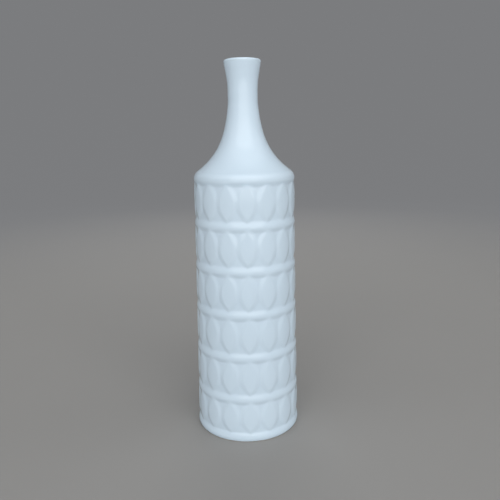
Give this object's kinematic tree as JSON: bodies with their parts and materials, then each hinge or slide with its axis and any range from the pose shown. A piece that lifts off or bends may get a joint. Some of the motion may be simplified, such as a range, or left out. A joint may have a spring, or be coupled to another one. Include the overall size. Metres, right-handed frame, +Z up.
{
  "type": "bud vase",
  "caption": "Tall white porcelain bottle vase: slender flared neck, rounded shoulder bead, and a cylinder of moulded petal tiers between raised ribs on a bare foot ring.",
  "frame": {"origin": "centre of the foot ring's resting face, on the table", "axes": "+Z up the vase's axis to the mouth; -Y towards the viewer of the picture"},
  "size_m": [0.072, 0.072, 0.25],
  "materials": {
    "white_glaze": "clear glossy glaze on white porcelain, faintly blue",
    "bare_biscuit": "unglazed matt biscuit porcelain, wiped before firing"
  },
  "bodies": {
    "root": {"foot_ring": "bare_biscuit", "tiered_body": "white_glaze", "shoulder": "white_glaze", "neck": "white_glaze"}
  },
  "joints": []
}
